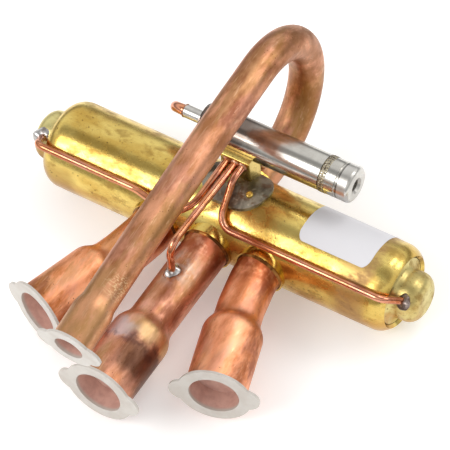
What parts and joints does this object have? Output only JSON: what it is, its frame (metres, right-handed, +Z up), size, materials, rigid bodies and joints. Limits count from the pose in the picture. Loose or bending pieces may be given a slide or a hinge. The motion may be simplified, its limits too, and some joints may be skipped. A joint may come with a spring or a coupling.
{
  "type": "four way reversing valve",
  "caption": "Brass heat pump reversing valve with swaged copper stubs, looped discharge tube, steel solenoid pilot, capillaries and transit plugs.",
  "frame": {"origin": "on the axis of the brass body, at the middle port", "axes": "+X along the body towards the tapped end of the pilot tube, +Y the way the discharge tube leaves the body, opposite the three ports, +Z up"},
  "size_m": [0.1784, 0.1807, 0.0867],
  "materials": {
    "brass_body": "heat-mottled drawn brass",
    "brass_turned": "bright machined brass",
    "copper_tube": "drawn copper, heat-tinted round the brazed joints",
    "copper_capillary": "bright drawn copper",
    "stainless": "brushed stainless steel",
    "steel": "plain machined steel",
    "bracket_steel": "flux-stained dark steel",
    "spring_steel": "drawn spring steel",
    "slide_plastic": "moulded nylon",
    "seal_plastic": "skived fluoropolymer",
    "label_paper": "plain satin label",
    "plug_plastic": "milky translucent polythene"
  },
  "bodies": {
    "valve_body": {"body_tube": "brass_body", "bracket_rivet": "brass_turned", "capillary_discharge": "copper_capillary", "capillary_left": "copper_capillary", "capillary_right": "copper_capillary", "capillary_suction": "copper_capillary", "coil_tube_left": "copper_tube", "coil_tube_right": "copper_tube", "discharge_tube": "copper_tube", "end_cap_left": "brass_body", "end_cap_right": "brass_body", "label": "label_paper", "pilot_bracket": "bracket_steel", "pilot_core": "stainless", "pilot_end_stub": "steel", "pilot_seat": "brass_turned", "pilot_shading_ring": "copper_tube", "pilot_spring": "spring_steel", "pilot_tube": "stainless", "suction_tube": "copper_tube", "valve_seat": "brass_turned"},
    "main_shuttle": {"main_slide": "slide_plastic", "piston_plate_left": "steel", "piston_plate_right": "steel", "piston_retainer_left": "steel", "piston_retainer_right": "steel", "piston_screws": "steel", "piston_seal_left": "seal_plastic", "piston_seal_right": "seal_plastic", "slide_frame": "steel", "slide_spring": "spring_steel"},
    "pilot_armature": {"pilot_carrier": "steel", "pilot_plunger": "stainless", "pilot_slide": "slide_plastic"},
    "suction_plug": {"suction_plug": "plug_plastic"},
    "coil_left_plug": {"coil_left_plug": "plug_plastic"},
    "coil_right_plug": {"coil_right_plug": "plug_plastic"},
    "discharge_plug": {"discharge_plug": "plug_plastic"}
  },
  "joints": [
    {"name": "shuttle_slide", "type": "slide", "parent": "valve_body", "child": "main_shuttle", "axis": [1, 0, 0], "range_m": [0, 0.0243]},
    {"name": "armature_slide", "type": "slide", "parent": "valve_body", "child": "pilot_armature", "axis": [1, 0, 0], "range_m": [0, 0.0035], "stiffness_N_per_m": 300, "springref_m": -0.004, "deforming": ["pilot_spring"]},
    {"name": "suction_plug_pull", "type": "slide", "parent": "valve_body", "child": "suction_plug", "axis": [0, -1, 0], "range_m": [0, 0.015]},
    {"name": "coil_left_plug_pull", "type": "slide", "parent": "valve_body", "child": "coil_left_plug", "axis": [-0.3156, -0.9489, 0], "range_m": [0, 0.015]},
    {"name": "coil_right_plug_pull", "type": "slide", "parent": "valve_body", "child": "coil_right_plug", "axis": [0.3007, -0.9537, 0], "range_m": [0, 0.015]},
    {"name": "discharge_plug_pull", "type": "slide", "parent": "valve_body", "child": "discharge_plug", "axis": [0, -0.9887, -0.1499], "range_m": [0, 0.015]}
  ]
}
